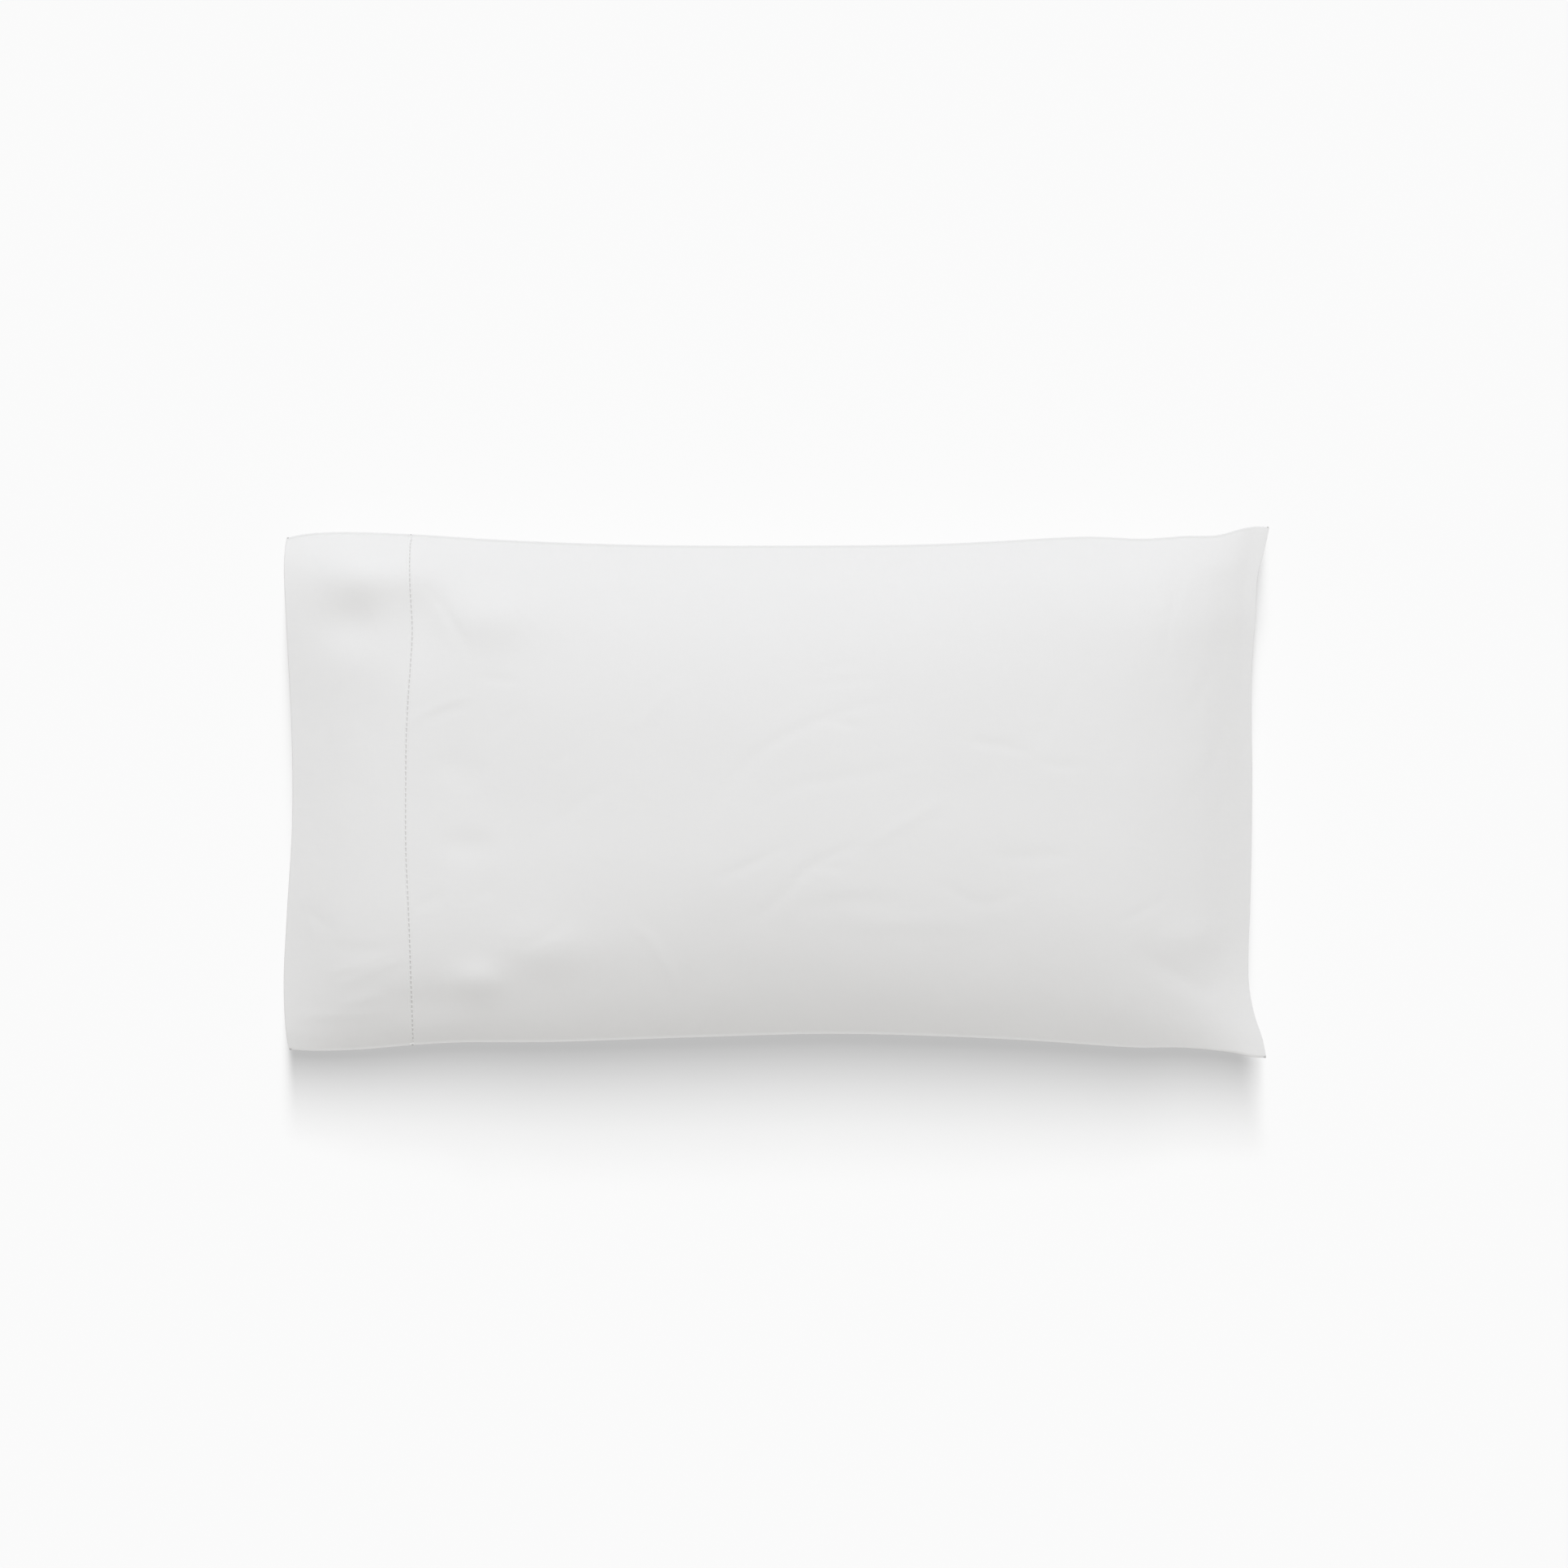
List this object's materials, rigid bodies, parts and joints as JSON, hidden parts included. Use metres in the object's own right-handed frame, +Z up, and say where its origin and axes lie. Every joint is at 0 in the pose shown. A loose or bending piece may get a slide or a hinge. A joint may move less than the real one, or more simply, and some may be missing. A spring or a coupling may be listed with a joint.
{
  "type": "pillowcase",
  "caption": "King-size white pillowcase on its pillow, lying face up, with a deep hemstitched hem round its open mouth.",
  "frame": {"origin": "on the floor, under the middle of the case's bounding box", "axes": "+X from the open mouth to the closed end, +Y across the case, +Z up"},
  "size_m": [0.9174, 0.4938, 0.1335],
  "materials": {
    "cotton": "matt white percale"
  },
  "bodies": {
    "root": {"pillowcase": "cotton"}
  },
  "joints": []
}
